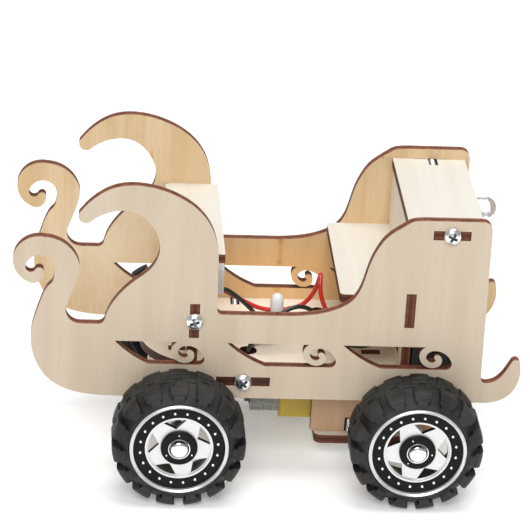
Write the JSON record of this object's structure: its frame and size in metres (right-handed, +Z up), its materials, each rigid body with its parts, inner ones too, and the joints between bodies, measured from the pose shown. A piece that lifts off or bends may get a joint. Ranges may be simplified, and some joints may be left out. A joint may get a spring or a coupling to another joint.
{
  "type": "four-wheeled electric car kit",
  "caption": "Sleigh-shaped plywood electric car chassis with scrolled side panels, rear seat box, rubber-tyred plated wheels and a geared motor under the deck.",
  "frame": {"origin": "on the ground under the middle of the whole car", "axes": "+X to the rear of the car, +Y to its right-hand side, +Z up"},
  "size_m": [0.1643, 0.102, 0.1043],
  "materials": {
    "plywood": "matt, laser-cut, unfinished",
    "zinc": "bright zinc plate",
    "steel": "drawn",
    "white_nylon": "satin",
    "yellow_plastic": "satin moulded",
    "black_plastic": "satin moulded",
    "motor_steel": "plated, satin",
    "brass": "satin",
    "ferrite": "matt",
    "cell_jacket": "printed sleeve, plain",
    "milky_nylon": "milky, translucent",
    "clear_plastic": "clear moulded plastic",
    "red_lead": "soft PVC",
    "black_lead": "soft PVC",
    "plated_rim": "bright plated plastic",
    "tyre": "matt rubber, block tread",
    "black_enamel": "gloss black"
  },
  "bodies": {
    "chassis": {"axle_bushes": "white_nylon", "battery_box": "black_plastic", "battery_cells": "cell_jacket", "battery_contacts": "zinc", "battery_lead_black": "black_lead", "battery_lead_red": "red_lead", "deck_plate": "plywood", "front_bracket_left": "plywood", "front_bracket_right": "plywood", "front_bulkhead": "plywood", "front_shelf": "plywood", "gear_pins": "steel", "gearbox_screws": "zinc", "gearbox_shell_left": "yellow_plastic", "gearbox_shell_right": "yellow_plastic", "joint_screws": "zinc", "lamp_legs": "zinc", "motor_bracket_floor": "plywood", "motor_bracket_left": "plywood", "motor_bracket_right": "plywood", "motor_can": "motor_steel", "motor_end_cap": "black_plastic", "motor_lead_black": "black_lead", "motor_magnets": "ferrite", "motor_strap": "clear_plastic", "motor_terminals": "brass", "rear_board": "plywood", "roof_plate": "plywood", "seat_backrest": "plywood", "seat_plate": "plywood", "side_panel_left": "plywood", "side_panel_right": "plywood", "switch_body": "white_nylon", "switch_lead_black": "black_lead", "switch_terminals": "brass", "tail_lamp": "clear_plastic", "wire_cap": "milky_nylon"},
    "rear_wheelset": {"rear_axle": "steel", "rear_left_rim": "plated_rim", "rear_left_tyre": "tyre", "rear_right_rim": "plated_rim", "rear_right_tyre": "tyre", "rear_wheel_trims": "black_enamel", "rear_wheel_rivets": "plated_rim", "rear_hub_caps": "plated_rim", "output_gear": "white_nylon"},
    "front_wheelset": {"front_axle": "steel", "front_left_rim": "plated_rim", "front_left_tyre": "tyre", "front_right_rim": "plated_rim", "front_right_tyre": "tyre", "front_wheel_trims": "black_enamel", "front_wheel_rivets": "plated_rim", "front_hub_caps": "plated_rim"},
    "crown": {"crown_gear": "white_nylon"},
    "idler": {"idler_gear": "white_nylon"},
    "motor_rotor": {"motor_armature": "steel", "motor_pinion": "white_nylon"},
    "rocker": {"switch_rocker": "black_plastic"}
  },
  "joints": [
    {"name": "rear_axle_spin", "type": "hinge", "parent": "chassis", "child": "rear_wheelset", "pos_m": [0.0484, 0, 0.0215], "axis": [0, 1, 0], "continuous": true},
    {"name": "front_axle_spin", "type": "hinge", "parent": "chassis", "child": "front_wheelset", "pos_m": [-0.028, 0, 0.0215], "axis": [0, 1, 0], "continuous": true},
    {"name": "idler_spin", "type": "hinge", "parent": "chassis", "child": "idler", "pos_m": [0.0396, 0, 0.0257], "axis": [0, 1, 0], "continuous": true},
    {"name": "crown_spin", "type": "hinge", "parent": "chassis", "child": "crown", "pos_m": [0.0309, 0, 0.0234], "axis": [0, 1, 0], "continuous": true},
    {"name": "motor_spin", "type": "hinge", "parent": "chassis", "child": "motor_rotor", "pos_m": [0, 0, 0.0234], "axis": [1, 0, 0], "continuous": true},
    {"name": "switch_rock", "type": "hinge", "parent": "chassis", "child": "rocker", "pos_m": [-0.025, -0.009, 0.0644], "axis": [0, 0, 1], "range_deg": [0, 14]}
  ],
  "couplings": [
    {"joint": "idler_spin", "follows": "rear_axle_spin", "ratio": -3.3333},
    {"joint": "crown_spin", "follows": "rear_axle_spin", "ratio": 8.6667},
    {"joint": "motor_spin", "follows": "rear_axle_spin", "ratio": -34.667}
  ]
}
